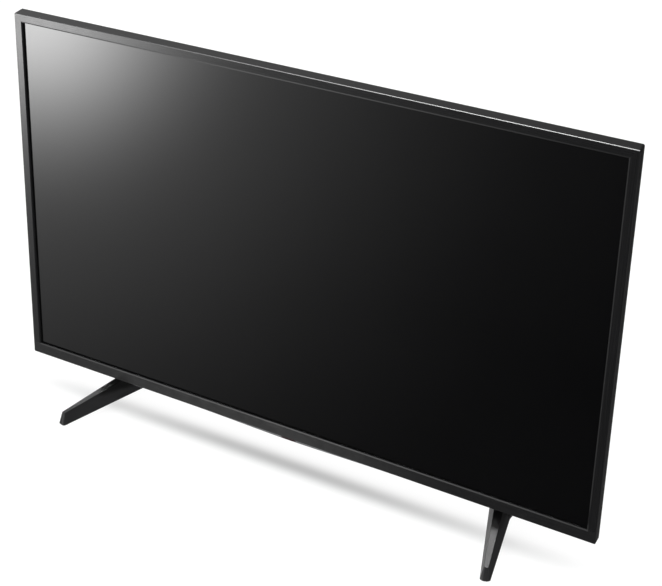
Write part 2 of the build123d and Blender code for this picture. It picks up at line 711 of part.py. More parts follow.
# ================================================================ rear cover
R0Z0, R0Z1 = 58.7, 626.6
with BuildPart() as rear_cover:
    # thin upper tray
    with BuildSketch(at(15.2)):
        with Locations((0, (R0Z0 + R0Z1) / 2)):
            RectangleRounded(970.0, R0Z1 - R0Z0, 2.8)
    with BuildSketch(at(EDGE_Y)):
        with Locations((0, (R0Z0 + 604) / 2)):
            RectangleRounded(940.0, 604 - R0Z0, 9.0)
    loft()
    # electronics housing
    with BuildSketch(at(EDGE_Y - 1)):
        with Locations((0, (R0Z0 + BULGE_Z) / 2)):
            RectangleRounded(2 * BULGE_X, BULGE_Z - R0Z0, 12.0)
    with BuildSketch(at(BULGE_Y)):
        with Locations((0, (63 + 400) / 2)):
            RectangleRounded(2 * BULGE_X - 20, 400 - 63, 12.0)
    loft()
    fillet(rear_cover.edges().group_by(Axis.Y)[-1], 3.0)
    # hollow
    with BuildSketch(at(15.1)):
        with Locations((0, (R0Z0 + 2.2 + R0Z1 - 2.2) / 2)):
            RectangleRounded(965.6, R0Z1 - R0Z0 - 4.4, 1.4)
    with BuildSketch(at(EDGE_Y - COVER_T)):
        with Locations((0, (R0Z0 + 2.2 + 603) / 2)):
            RectangleRounded(938.4, 603 - R0Z0 - 2.2, 7.0)
    loft(mode=Mode.SUBTRACT)
    with BuildSketch(at(EDGE_Y - 3)):
        with Locations((0, (R0Z0 + 2.2 + 427.4) / 2)):
            RectangleRounded(2 * BULGE_X - 4.6, 427.4 - R0Z0 - 2.2, 10.0)
    with BuildSketch(at(BULGE_Y - COVER_T)):
        with Locations((0, (65.2 + 398) / 2)):
            RectangleRounded(2 * BULGE_X - 24, 398 - 65.2, 10.0)
    loft(mode=Mode.SUBTRACT)
    # spigot that nests inside the bezel
    with BuildSketch(at(17.0)):
        with Locations((0, (61.0 + 624.0) / 2)):
            RectangleRounded(965.8, 624.0 - 61.0, 1.3)
        with Locations((0, (62.2 + 622.4) / 2)):
            RectangleRounded(962.8, 622.4 - 62.2, 0.8, mode=Mode.SUBTRACT)
    extrude(amount=4.5)
    # screw wells round the edge
    with BuildSketch(at(26.0)):
        with Locations(*(COVER_SCREWS_SIDE + COVER_SCREWS_TOP)):
            Circle(4.2)
    extrude(amount=13.9)
    with BuildSketch(at(33.0)):
        with Locations(*COVER_SCREWS_LOW):
            Circle(5.4)
    extrude(amount=20.9)
    with BuildSketch(at(40.0)):
        with Locations(*COVER_SCREWS):
            Circle(3.4)
    extrude(amount=26.0, mode=Mode.SUBTRACT)
    with BuildSketch(at(14.5)):
        with Locations(*COVER_SCREWS):
            Circle(1.65)
    extrude(amount=5.0, mode=Mode.SUBTRACT)
    # wells over the foot screws
    with BuildSketch(at(76.5)):
        with Locations(*FOOT_SCREWS):
            Circle(6.6)
    extrude(amount=28.0)
    with BuildSketch(at(79.0)):
        with Locations(*FOOT_SCREWS):
            Circle(5.0)
    extrude(amount=32.0, mode=Mode.SUBTRACT)
    # wall bracket openings with a raised ring round each
    with BuildSketch(at(79.2)):
        with Locations(*VESA_PTS):
            Circle(11.0)
    extrude(amount=3.0)
    with BuildSketch(at(79.6)):
        with Locations(*VESA_PTS):
            Circle(6.6)
    extrude(amount=8.0, mode=Mode.SUBTRACT)
    # feet, joystick and speaker openings in the underside
    with BuildSketch(Plane.XY.offset(50)):
        with Locations((-FOOT_X, Y(38.4)), (FOOT_X, Y(38.4))):
            Rectangle(25, 13.4)
        with Locations((0, Y(JOY_Y))):
            Circle(5.0)
        with Locations(*[(s * (SPK_X + k * 6.0), Y(SPK_Y)) for s in (-1, 1) for k in range(-10, 11)]):
            SlotOverall(20, 2.6, rotation=90)
    extrude(amount=17, mode=Mode.SUBTRACT)
    # air slots: a long field along the top slope of the housing and one low on the back
    with BuildSketch(at(79)):
        with Locations(*[(-330 + 11.0 * k, 374) for k in range(61)]):
            SlotOverall(22, 3.0, rotation=90)
    extrude(amount=8, mode=Mode.SUBTRACT)
    with BuildSketch(at(79)):
        with Locations(*[(-66 + 11.0 * k, 92) for k in range(13)]):
            SlotOverall(22, 3.0, rotation=90)
    extrude(amount=8, mode=Mode.SUBTRACT)
    # recess for the rear jacks and window for the side jacks and the mains inlet
    with BuildSketch(at(79)):
        with Locations((-298, 258)):
            RectangleRounded(64, 140, 4)
    extrude(amount=6, mode=Mode.SUBTRACT)
    with BuildSketch(Plane.YZ.offset(-390)):
        with Locations((Y(50.5), 268)):
            Rectangle(27, 104)
    extrude(amount=20, mode=Mode.SUBTRACT)
    with BuildSketch(Plane.YZ.offset(365)):
        with Locations((Y(56), INLET_Z)):
            RectangleRounded(18.4, 26.4, 2)
    extrude(amount=25, mode=Mode.SUBTRACT)
done(rear_cover.part, "rear_cover")

with BuildPart() as rear_jack_plate:
    # tray let into the back wall
    with BuildSketch(at(77.0)):
        with Locations((-298, 258)):
            RectangleRounded(63.6, 139.6, 3.8)
            RectangleRounded(60.4, 136.4, 2.6, mode=Mode.SUBTRACT)
    extrude(amount=77.0 - REAR_PLATE_Y + 2)
    with BuildSketch(at(REAR_PLATE_Y)):
        with Locations((-298, 258)):
            RectangleRounded(63.6, 139.6, 3.8)
        with Locations((-298, 206)):
            Circle(5.2, mode=Mode.SUBTRACT)
        with Locations((-298, 240)):
            Rectangle(16.6, 14.6, mode=Mode.SUBTRACT)
        with Locations(*[(-298, jz) for jz in AV_Z]):
            Circle(4.5, mode=Mode.SUBTRACT)
        with Locations((-298, 310)):
            Rectangle(10.6, 10.6, mode=Mode.SUBTRACT)
    extrude(amount=2.0)
done(rear_jack_plate.part, "rear_jack_plate")

with BuildPart() as side_jack_plate:
    # tray let into the side wall
    with BuildSketch(Plane.YZ.offset(-375.6)):
        with Locations((Y(50.5), 268)):
            Rectangle(26.6, 103.6)
            Rectangle(23.4, 100.4, mode=Mode.SUBTRACT)
    extrude(amount=-SIDE_X * -1 + 375.6 + 0.1)
    with BuildSketch(Plane.YZ.offset(SIDE_X)):
        with Locations((Y(50.5), 268)):
            Rectangle(26.6, 103.6)
        for hz in HDMI_Z:
            with Locations((Y(PCB1 + 4.6), hz)):
                Rectangle(7.2, 15.6, mode=Mode.SUBTRACT)
        with Locations((Y(PCB1 + 4.6), USB_Z)):
            Rectangle(7.8, 15.2, mode=Mode.SUBTRACT)
    extrude(amount=1.8)
done(side_jack_plate.part, "side_jack_plate")

with BuildPart() as cover_screws:
    for bx, bz in COVER_SCREWS:
        with BuildSketch(at(14.03)):
            with Locations((bx, bz)):
                Circle(3.1)
        extrude(amount=-2.2)
        with BuildSketch(at(14.2)):
            with Locations((bx, bz)):
                Circle(1.5)
        extrude(amount=6.0)
        with BuildSketch(at(16.5)):
            with Locations((bx, bz)):
                Rectangle(3.4, 0.8)
                Rectangle(0.8, 3.4)
        extrude(amount=1.4, mode=Mode.SUBTRACT)
done(cover_screws.part, "cover_screws")

# ================================================================ stand
with BuildPart() as stand_brackets:
    # steel socket on the pan for each foot's tongue
    for s in (-1, 1):
        with BuildSketch(at(32.0)):
            with Locations((s * FOOT_X, 118)):
                Rectangle(64, 52)
            with Locations((s * FOOT_X, 98), (s * FOOT_X, 114)):
                Circle(1.9, mode=Mode.SUBTRACT)
        extrude(amount=1.48)
        with BuildSketch(at(45.0)):
            with Locations((s * FOOT_X - 13.3, 106), (s * FOOT_X + 13.3, 106)):
                Rectangle(1.6, 28)
        extrude(amount=13.2)
done(stand_brackets.part, "stand_brackets")


APEX_X = TOE_X - (TOE_Y + APEX_Y) * tan(radians(SPLAY))
# half width and height of the four long edges at the toe, and their change per mm towards the neck
LOW = (7.5, 0.064, 1.65, 0.140)
TOP = (3.4, 0.031, 20.4, 0.214)


def blade_section(y, s, k, u, gain):
    """Plane and corners of a blade's section u mm from its toe; k is -1 for the front blade and 1 for the rear one."""
    d = Vector(-sin(s), -k * cos(s), 0)
    n = Vector(cos(s), -k * sin(s), 0)
    pts = []
    for side, (h0, h1, z0, z1), trim in ((-1, LOW, 0), (1, LOW, 0), (1, TOP, 1), (1, TOP, 2), (-1, TOP, 2), (-1, TOP, 1)):
        half = h0 + h1 * u * gain * (0.86 if k > 0 else 1.0)
        pts.append((side * (half - (0.45 if trim == 2 else 0.0)), z0 + z1 * u * gain - (0.55 if trim == 1 else 0.0)))
    return Plane(origin=(TOE_X + d.X * u, y + d.Y * u, 0), x_dir=(n.X, n.Y, 0), z_dir=(n.Y, -n.X, 0)), pts


def toe_nose(x, y, s, k):
    """Cutter that rounds a toe in plan and leans it back: 5.6 mm further out on the table than on top."""
    n = (cos(s), -k * sin(s), 0)
    with BuildPart(mode=Mode.PRIVATE) as nose:
        for z, front, half, r in ((1.5, 5.6, 6.9, 5.6), (26.0, -1.6, 2.6, 0.9)):
            with BuildSketch(Plane(origin=(x, y, z), x_dir=n, z_dir=(0, 0, 1))) as sk:
                with BuildLine():
                    Polyline((-half, k * front), (half, k * front), (half + 2.1, k * (front - 14)), (half + 40, k * -175),
                             (-half - 40, k * -175), (-half - 2.1, k * (front - 14)), close=True)
                make_face()
                fillet([v for v in sk.vertices() if abs(v.Y - k * front) < 0.01], r)
        loft(ruled=True)
    return nose.part


s_front, s_rear = radians(SPLAY), atan2(TOE_X - APEX_X, TOE_Y - APEX_Y)
with BuildPart() as foot_right:
    for s, k in ((s_front, -1), (s_rear, 1)):
        ty = -TOE_Y if k < 0 else TOE_Y - 0.36
        length = hypot(TOE_X - APEX_X, TOE_Y - k * APEX_Y)
        # the rear blade is shorter, so its edges climb faster to the same section at the neck
        gain = hypot(TOE_X - APEX_X, TOE_Y + APEX_Y) / length
        with BuildPart(mode=Mode.PRIVATE) as blade:
            for u in (-14.0, length + 12.0):
                plane, pts = blade_section(ty, s, k, u, gain)
                with BuildSketch(plane):
                    with BuildLine():
                        Polyline(*pts, close=True)
                    make_face()
            loft(ruled=True)
            split(bisect_by=Plane.XZ.offset(-APEX_Y), keep=Keep.BOTTOM if k > 0 else Keep.TOP)
            split(bisect_by=Plane.XY.offset(1.5), keep=Keep.TOP)
        with BuildPart(mode=Mode.PRIVATE) as toe:
            add(blade.part)
            split(bisect_by=Plane.XY.offset(26.0), keep=Keep.BOTTOM)
            add(toe_nose(TOE_X, ty, s, k), mode=Mode.INTERSECT)
        with BuildPart(mode=Mode.PRIVATE) as rest:
            add(blade.part)
            split(bisect_by=Plane.XY.offset(26.0), keep=Keep.TOP)
        add(toe.part)
        add(rest.part)
    # web that eases the outer corner between the blades
    with BuildSketch(Plane.XY.offset(19.4)):
        with BuildLine():
            ThreePointArc((344.1, 13.5), (343.1, 27.2), (346.2, 39.8))
            Polyline((346.2, 39.8), (335, 37), (332, 27), (333, 15), (344.1, 13.5))
        make_face()
    extrude(amount=22, taper=15)
    # neck up to the underside of the set, and the tongue that enters the socket
    with BuildSketch(Plane.XY.offset(38)):
        with Locations((326.5, 19.0)):
            Rectangle(13, 26)
    with BuildSketch(Plane.XY.offset(50)):
        with Locations((FOOT_X, 15.5)):
            Rectangle(22, 24)
    loft()
    with BuildSketch(Plane.XY.offset(50)):
        with Locations((FOOT_X, 15.5)):
            Rectangle(22, 24)
    extrude(amount=8.2)
    with BuildSketch(Plane.XY.offset(58)):
        with Locations((FOOT_X, Y(38.4))):
            Rectangle(22, 11.8)
    extrude(amount=64)
    with BuildSketch(at(50)):
        with Locations((FOOT_X, 98), (FOOT_X, 114)):
            Circle(2.2)
    extrude(amount=22, mode=Mode.SUBTRACT)
done(foot_right.part, "foot_right")

with BuildPart() as foot_left:
    mirror(foot_right.part, about=Plane.YZ)
done(foot_left.part, "foot_left")

with BuildPart() as foot_pads:
    # wedges that fill the room between the table and the rising underside of each toe
    for sx in (-1, 1):
        for s, k, u in ((s_front, -1, 1.5), (s_rear, 1, 3.0)):
            with BuildSketch(Plane.XY):
                with Locations(Location((sx * (TOE_X - sin(s) * u), k * (TOE_Y - cos(s) * u), 0), (0, 0, -sx * k * degrees(s)))):
                    RectangleRounded(10.5, 11.0, 3.4)
            extrude(amount=3.8)
    add(foot_right.part, mode=Mode.SUBTRACT)
    add(foot_left.part, mode=Mode.SUBTRACT)
done(foot_pads.part, "foot_pads")

with BuildPart() as foot_screws:
    for bx, bz in FOOT_SCREWS:
        with BuildSketch(at(44.4)):
            with Locations((bx, bz)):
                Circle(4.0)
        extrude(amount=-2.6)
        with BuildSketch(at(44.6)):
            with Locations((bx, bz)):
                Circle(1.85)
        extrude(amount=14.0)
        with BuildSketch(at(47.2)):
            with Locations((bx, bz)):
                Rectangle(4.6, 1.0)
                Rectangle(1.0, 4.6)
        extrude(amount=1.8, mode=Mode.SUBTRACT)
done(foot_screws.part, "foot_screws")
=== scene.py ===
import json
import math
import bpy
import bmesh
from mathutils import Matrix, Vector

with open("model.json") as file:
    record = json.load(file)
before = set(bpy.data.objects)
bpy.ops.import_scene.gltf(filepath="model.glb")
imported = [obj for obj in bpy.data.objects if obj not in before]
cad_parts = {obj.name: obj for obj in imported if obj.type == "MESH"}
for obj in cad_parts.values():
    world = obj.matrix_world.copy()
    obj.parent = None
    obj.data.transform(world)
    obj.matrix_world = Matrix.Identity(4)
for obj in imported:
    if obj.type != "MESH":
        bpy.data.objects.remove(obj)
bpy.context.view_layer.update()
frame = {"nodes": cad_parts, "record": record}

NODES = frame["nodes"]
scene = bpy.context.scene
scene.view_settings.view_transform = "Standard"
scene.view_settings.look = "None"
scene.view_settings.exposure = 0.0
scene.view_settings.gamma = 1.0

# ------------------------------------------------------------------ camera
cam_data = bpy.data.cameras.new("camera")
cam = bpy.data.objects.new("camera", cam_data)
scene.collection.objects.link(cam)
cam_data.sensor_width = 36.0
cam_data.lens = 87.257
cam_data.shift_x = 0.0340
cam_data.shift_y = -0.0462
cam_data.clip_start = 0.05
cam_data.clip_end = 60.0
cam.matrix_world = Matrix((
    (0.850642, -0.241206, 0.467148, 1.07201),
    (0.525366, 0.356235, -0.772715, -1.75285),
    (0.019969, 0.902727, 0.429750, 1.31446),
    (0.0, 0.0, 0.0, 1.0),
))
scene.camera = cam

# ------------------------------------------------------------------ node helpers


class Tree:
    """Short names for building a shader's nodes."""

    def __init__(self, tree):
        self.t = tree
        self.n = tree.nodes
        self.l = tree.links
        self._co = None

    def new(self, kind, **props):
        node = self.n.new(kind)
        for k, v in props.items():
            setattr(node, k, v)
        return node

    def put(self, socket, value):
        if isinstance(value, bpy.types.NodeSocket):
            self.l.new(value, socket)
        elif value is not None:
            if hasattr(socket.default_value, "__len__"):
                size = len(socket.default_value)
                if not hasattr(value, "__len__"):
                    value = (value,) * size
                value = tuple(value)
                if size == 4 and len(value) == 3:
                    value = value + (1.0,)
                socket.default_value = value
            else:
                socket.default_value = value

    def co(self):
        if self._co is None:
            self._co = self.new("ShaderNodeTexCoord").outputs["Object"]
        return self._co

    def math(self, op, a, b=None, c=None, clamp=False):
        node = self.new("ShaderNodeMath", operation=op, use_clamp=clamp)
        for s, v in zip(node.inputs, (a, b, c)):
            self.put(s, v)
        return node.outputs[0]

    def vmath(self, op, a, b=None):
        node = self.new("ShaderNodeVectorMath", operation=op)
        self.put(node.inputs[0], a)
        if b is not None:
            self.put(node.inputs[1], b)
        return node.outputs["Value"] if op in ("DOT_PRODUCT", "LENGTH", "DISTANCE") else node.outputs["Vector"]

    def scaled(self, x, y, z, vector=None):
        return self.vmath("MULTIPLY", vector if vector is not None else self.co(), (x, y, z))

    def noise(self, vector, scale=1.0, detail=3.0, rough=0.5, distortion=0.0, kind="FBM"):
        node = self.new("ShaderNodeTexNoise", noise_dimensions="3D")
        node.noise_type = kind
        self.put(node.inputs["Vector"], vector)
        node.inputs["Scale"].default_value = scale
        node.inputs["Detail"].default_value = detail
        node.inputs["Roughness"].default_value = rough
        node.inputs["Distortion"].default_value = distortion
        return node.outputs["Fac"] if "Fac" in node.outputs else node.outputs[0]

    def voronoi(self, vector, scale=1.0, feature="F1", out="Distance", randomness=1.0):
        node = self.new("ShaderNodeTexVoronoi", feature=feature)
        self.put(node.inputs["Vector"], vector)
        node.inputs["Scale"].default_value = scale
        node.inputs["Randomness"].default_value = randomness
        return node.outputs[out]

    def ramp(self, value, *stops, mode="LINEAR"):
        node = self.new("ShaderNodeValToRGB")
        node.color_ramp.interpolation = mode
        els = node.color_ramp.elements
        while len(els) > 1:
            els.remove(els[-1])
        els[0].position = stops[0][0]
        els[0].color = self.rgba(stops[0][1])
        for pos, col in stops[1:]:
            els.new(pos).color = self.rgba(col)
        self.put(node.inputs[0], value)
        return node.outputs[0]

    @staticmethod
    def rgba(col):
        if not hasattr(col, "__len__"):
            col = (col, col, col)
        return tuple(col) + (1.0,) if len(col) == 3 else tuple(col)

    def remap(self, value, a, b, c, d, smooth=False):
        node = self.new("ShaderNodeMapRange")
        node.interpolation_type = "SMOOTHSTEP" if smooth else "LINEAR"
        node.clamp = True
        self.put(node.inputs["Value"], value)
        for name, v in (("From Min", a), ("From Max", b), ("To Min", c), ("To Max", d)):
            node.inputs[name].default_value = v
        return node.outputs["Result"]

    def mix(self, fac, a, b):
        node = self.new("ShaderNodeMix", data_type="RGBA", blend_type="MIX")
        self.put(node.inputs[0], fac)
        self.put(node.inputs[6], self.rgba(a) if not isinstance(a, bpy.types.NodeSocket) else a)
        self.put(node.inputs[7], self.rgba(b) if not isinstance(b, bpy.types.NodeSocket) else b)
        return node.outputs[2]

    def mixf(self, fac, a, b):
        node = self.new("ShaderNodeMix", data_type="FLOAT")
        self.put(node.inputs[0], fac)
        self.put(node.inputs[2], a)
        self.put(node.inputs[3], b)
        return node.outputs[0]

    def xyz(self, vector):
        node = self.new("ShaderNodeSeparateXYZ")
        self.put(node.inputs[0], vector)
        return node.outputs[0], node.outputs[1], node.outputs[2]

    def bump(self, height, strength, distance, normal=None):
        node = self.new("ShaderNodeBump")
        node.inputs["Strength"].default_value = strength
        node.inputs["Distance"].default_value = distance
        self.put(node.inputs["Height"], height)
        if normal is not None:
            self.put(node.inputs["Normal"], normal)
        return node.outputs["Normal"]


def material(name, build, **sockets):
    m = bpy.data.materials.new(name)
    m.use_nodes = True
    t = Tree(m.node_tree)
    t.n.clear()
    out = t.new("ShaderNodeOutputMaterial")
    bsdf = t.new("ShaderNodeBsdfPrincipled")
    t.l.new(bsdf.outputs[0], out.inputs["Surface"])
    for k, v in sockets.items():
        t.put(bsdf.inputs[k.replace("_", " ")], v)
    made = build(t) or {}
    for k, v in made.items():
        t.put(bsdf.inputs[k], v)
    m.diffuse_color = (0.05, 0.05, 0.05, 1.0)
    return m


MM = 0.001


def pixels_mask(t, lo, hi, axis, soft):
    """1 between lo and hi along an axis, in metres, with a soft edge."""
    c = t.xyz(t.co())[axis]
    up = t.remap(c, lo - soft, lo + soft, 0.0, 1.0)
    down = t.remap(c, hi - soft, hi + soft, 1.0, 0.0)
    return t.math("MULTIPLY", up, down)


# ------------------------------------------------------------------ finishes
def bezel_finish(t):
    # hairline moulding: fine lines along each bar, a cloudy grain under them; painted shade on the glossier side walls,
    # a painted highlight line along the front of the outer side edges
    x, y, z = t.xyz(t.co())
    corner = t.math("MAXIMUM", t.math("SUBTRACT", z, 0.6108), t.math("SUBTRACT", 0.0770, z))
    side = t.remap(t.math("SUBTRACT", t.math("SUBTRACT", t.math("ABSOLUTE", x), 0.4725), corner), -0.0002, 0.0002, 0.0, 1.0)
    along = t.noise(t.scaled(9.0, 900.0, 1500.0), 1.0, 4.0, 0.6)
    upright = t.noise(t.scaled(1500.0, 900.0, 9.0), 1.0, 4.0, 0.6)
    hair = t.mixf(side, along, upright)
    cloud = t.noise(t.scaled(60.0, 60.0, 60.0), 1.0, 3.0, 0.55)
    grain = t.noise(t.scaled(2600.0, 2600.0, 2600.0), 1.0, 2.0, 0.6)
    base = t.ramp(hair, (0.30, (0.0065, 0.0065, 0.0069)), (0.55, (0.0100, 0.0100, 0.0103)), (0.78, (0.0160, 0.0160, 0.0163)))
    # painted sheen: the lower bar is lightened where a reflection falls, strongest left of its middle
    low = t.math("MULTIPLY", t.remap(z, 0.0775, 0.0765, 0.0, 1.0), t.remap(y, -0.0262, -0.0266, 0.0, 1.0))
    painted_sheen = t.math("MULTIPLY", t.remap(x, -0.48, -0.03, 0.22, 1.0, True), t.remap(x, -0.03, 0.30, 1.0, 0.12, True))
    painted_sheen = t.math("MULTIPLY", t.math("MULTIPLY", low, painted_sheen), t.remap(hair, 0.25, 0.75, 0.75, 1.25))
    base = t.mix(painted_sheen, base, (0.045, 0.045, 0.045))
    base = t.mix(t.remap(cloud, 0.3, 0.7, 0.0, 0.35), base, (0.0100, 0.0102, 0.0110))
    # painted shade: the outer side walls are darkened to near black; they are also made glossier below
    painted_shade_wall = t.math("MULTIPLY", t.remap(t.math("ABSOLUTE", x), 0.48592, 0.48600, 0.0, 1.0), t.remap(y, -0.0262, -0.0256, 0.0, 1.0))
    base = t.mix(painted_shade_wall, base, (0.0012, 0.0012, 0.0013))
    # painted highlight: a thin lighter line along the front of the outer side edges
    painted_highlight_edge = t.math("MULTIPLY", t.remap(t.math("ABSOLUTE", x), 0.48600, 0.48608, 0.0, 1.0), t.remap(y, -0.0262, -0.0268, 0.0, 1.0))
    base = t.mix(t.math("MULTIPLY", painted_highlight_edge, 0.5), base, (0.016, 0.016, 0.016))
    rough = t.math("ADD", t.remap(hair, 0.25, 0.75, 0.100, 0.150), t.remap(cloud, 0.3, 0.7, -0.01, 0.01))
    rough = t.math("ADD", rough, t.remap(grain, 0.3, 0.7, -0.015, 0.02))
    rough = t.math("MULTIPLY", rough, t.remap(painted_shade_wall, 0.0, 1.0, 1.0, 0.35))
    normal = t.bump(hair, 0.10, 0.05 * MM)
    normal = t.bump(grain, 0.06, 0.03 * MM, normal)
    return {"Base Color": base, "Roughness": rough, "Normal": normal}


def lens_finish(t):
    x, y, z = t.xyz(t.co())
    streak = t.noise(t.scaled(25.0, 700.0, 700.0), 1.0, 3.0, 0.5)
    window = t.remap(t.math("ABSOLUTE", t.math("ADD", x, 0.0)), 0.010, 0.014, 0.0, 1.0, True)
    base = t.mix(window, (0.030, 0.014, 0.016), t.ramp(streak, (0.3, (0.140, 0.142, 0.145)), (0.7, (0.180, 0.182, 0.185))))
    rough = t.remap(streak, 0.3, 0.7, 0.20, 0.32)
    return {"Base Color": base, "Roughness": rough, "Normal": t.bump(streak, 0.08, 0.03 * MM)}


def panel_finish(t):
    # picture area with its fine cell grid, a pure black printed border round it, anti-glare haze, faint unevenness
    x, y, z = t.xyz(t.co())
    wx = t.remap(t.math("ABSOLUTE", x), 0.47055, 0.47065, 1.0, 0.0)
    wz = t.math("MULTIPLY", t.remap(z, 0.07915, 0.07925, 0.0, 1.0), t.remap(z, 0.60855, 0.60865, 1.0, 0.0))
    active = t.math("MULTIPLY", wx, wz)
    cloud = t.noise(t.scaled(5.0, 5.0, 5.0), 1.0, 3.0, 0.5)
    mottle = t.noise(t.scaled(1300.0, 1300.0, 1300.0), 1.0, 2.0, 0.6)
    cells = t.math("SINE", t.math("MULTIPLY", x, 2 * math.pi / 0.00049))
    rows = t.math("SINE", t.math("MULTIPLY", z, 2 * math.pi / 0.00049))
    grid = t.math("MULTIPLY", cells, rows)
    pic = t.ramp(cloud, (0.3, (0.0015, 0.0015, 0.0017)), (0.7, (0.0023, 0.0023, 0.0025)))
    pic = t.mix(t.remap(grid, -1.0, 1.0, 0.0, 0.25), pic, (0.0006, 0.0006, 0.0009))
    base = t.mix(active, (0.0012, 0.0012, 0.0013), pic)
    rough = t.math("ADD", t.remap(cloud, 0.3, 0.7, 0.088, 0.098), t.remap(mottle, 0.3, 0.7, -0.006, 0.006))
    normal = t.bump(mottle, 0.03, 0.01 * MM)
    return {"Base Color": base, "Roughness": rough, "Normal": normal}


def moulded(dark, light, rough_lo, rough_hi, grain_mm=0.45, depth=0.10, cloud_m=0.03):
    """Spark-eroded plastic: a fine pebbled grain, with soft clouding in colour and gloss."""
    def build(t):
        s = 1000.0 / grain_mm
        pebble = t.voronoi(t.scaled(s, s, s), 1.0, "SMOOTH_F1", "Distance")
        fine = t.noise(t.scaled(s * 1.7, s * 1.7, s * 1.7), 1.0, 3.0, 0.6)
        cloud = t.noise(t.scaled(1 / cloud_m, 1 / cloud_m, 1 / cloud_m), 1.0, 3.0, 0.5)
        height = t.math("ADD", t.math("MULTIPLY", pebble, 0.6), t.math("MULTIPLY", fine, 0.6))
        base = t.ramp(cloud, (0.3, dark), (0.7, light))
        base = t.mix(t.remap(height, 0.35, 0.85, 0.25, 0.0), base, tuple(c * 0.55 for c in dark))
        rough = t.math("ADD", t.remap(cloud, 0.3, 0.7, rough_lo, rough_hi), t.remap(fine, 0.3, 0.7, -0.03, 0.03))
        return {"Base Color": base, "Roughness": rough, "Normal": t.bump(height, 0.5, depth * MM)}
    return build


def painted_foot(t):
    # semi-gloss blade: orange peel, long soft streaks from the mould, tiny speckle, rubbed toe ends
    x, y, z = t.xyz(t.co())
    peel = t.noise(t.scaled(260.0, 260.0, 260.0), 1.0, 2.0, 0.5)
    speck = t.noise(t.scaled(1500.0, 1500.0, 1500.0), 1.0, 3.0, 0.65)
    streak = t.noise(t.scaled(90.0, 14.0, 90.0), 1.0, 3.0, 0.5)
    base = t.ramp(streak, (0.3, (0.0145, 0.0145, 0.0153)), (0.7, (0.0215, 0.0215, 0.0222)))
    toe = t.math("MULTIPLY", t.remap(t.math("ABSOLUTE", y), 0.088, 0.104, 0.0, 1.0), t.remap(z, 0.002, 0.010, 1.0, 0.0))
    base = t.mix(t.math("MULTIPLY", toe, 0.4), base, (0.022, 0.021, 0.021))
    # painted shade: the tops of the blades are darkened near the set, standing in for its shadow and dark reflection
    painted_shade_near_set = t.math("MULTIPLY", t.remap(t.math("ABSOLUTE", y), 0.050, 0.038, 0.0, 1.0, True), t.remap(z, 0.026, 0.034, 0.0, 1.0, True))
    base = t.mix(t.math("MULTIPLY", painted_shade_near_set, 0.85), base, (0.0015, 0.0015, 0.0015))
    rough = t.math("ADD", t.remap(streak, 0.3, 0.7, 0.30, 0.38), t.remap(speck, 0.3, 0.7, -0.03, 0.04))
    normal = t.bump(speck, 0.12, 0.05 * MM, t.bump(peel, 0.10, 0.12 * MM))
    return {"Base Color": base, "Roughness": rough, "Normal": normal}


def rubber_finish(dark=(0.010, 0.010, 0.010), light=(0.018, 0.018, 0.018)):
    def build(t):
        fine = t.noise(t.scaled(1400.0, 1400.0, 1400.0), 1.0, 4.0, 0.7)
        dust = t.noise(t.scaled(120.0, 120.0, 120.0), 1.0, 4.0, 0.6)
        base = t.mix(t.remap(dust, 0.55, 0.75, 0.0, 0.35), t.ramp(fine, (0.3, dark), (0.7, light)), (0.045, 0.044, 0.042))
        return {"Base Color": base, "Roughness": t.remap(fine, 0.3, 0.7, 0.72, 0.9), "Normal": t.bump(fine, 0.3, 0.08 * MM)}
    return build


def sheet_metal(base_lo, base_hi, rough_lo, rough_hi, spangle=True):
    """Galvanised or plated sheet: crystal spangle, rolling streaks, faint handling marks."""
    def build(t):
        cell = t.voronoi(t.scaled(130.0, 130.0, 130.0), 1.0, "F1", "Color")
        streak = t.noise(t.scaled(6.0, 400.0, 400.0), 1.0, 3.0, 0.55)
        mark = t.noise(t.scaled(35.0, 35.0, 35.0), 1.0, 4.0, 0.6)
        g = t.new("ShaderNodeSeparateColor")
        t.put(g.inputs[0], cell)
        mixin = t.math("ADD", t.math("MULTIPLY", g.outputs[0], 0.55 if spangle else 0.1), t.math("MULTIPLY", streak, 0.45))
        base = t.ramp(mixin, (0.15, base_lo), (0.75, base_hi))
        rough = t.math("ADD", t.remap(mixin, 0.1, 0.8, rough_lo, rough_hi), t.remap(mark, 0.5, 0.8, 0.0, 0.12))
        return {"Base Color": base, "Roughness": rough, "Normal": t.bump(streak, 0.08, 0.03 * MM)}
    return build


def board_finish(t):
    # solder mask over copper: traces as lighter bands, plated pads, weave of the laminate
    x, y, z = t.xyz(t.co())
    maze = t.voronoi(t.scaled(240.0, 240.0, 240.0), 1.0, "DISTANCE_TO_EDGE", "Distance", 0.35)
    pads = t.voronoi(t.scaled(420.0, 420.0, 420.0), 1.0, "F1", "Distance", 0.5)
    pick = t.noise(t.scaled(40.0, 40.0, 40.0), 1.0, 2.0, 0.5)
    weave = t.noise(t.scaled(1800.0, 1800.0, 1800.0), 1.0, 2.0, 0.5)
    base = t.mix(t.remap(maze, 0.03, 0.06, 1.0, 0.0), (0.006, 0.060, 0.022), (0.016, 0.120, 0.042))
    pad = t.math("MULTIPLY", t.remap(pads, 0.16, 0.20, 1.0, 0.0), t.remap(pick, 0.52, 0.56, 0.0, 1.0))
    base = t.mix(pad, base, (0.62, 0.60, 0.55))
    rough = t.mixf(pad, t.remap(weave, 0.3, 0.7, 0.28, 0.38), 0.22)
    return {"Base Color": base, "Roughness": rough, "Metallic": pad, "Normal": t.bump(t.math("ADD", maze, pad), 0.15, 0.05 * MM)}


def film_finish(t):
    rib = t.math("SINE", t.math("MULTIPLY", t.xyz(t.co())[2], 2 * math.pi / 0.0006))
    cloud = t.noise(t.scaled(12.0, 12.0, 12.0), 1.0, 3.0, 0.5)
    return {"Base Color": t.ramp(cloud, (0.3, (0.72, 0.74, 0.78)), (0.7, (0.80, 0.82, 0.85))),
            "Roughness": t.remap(cloud, 0.3, 0.7, 0.22, 0.34), "Normal": t.bump(rib, 0.25, 0.05 * MM)}


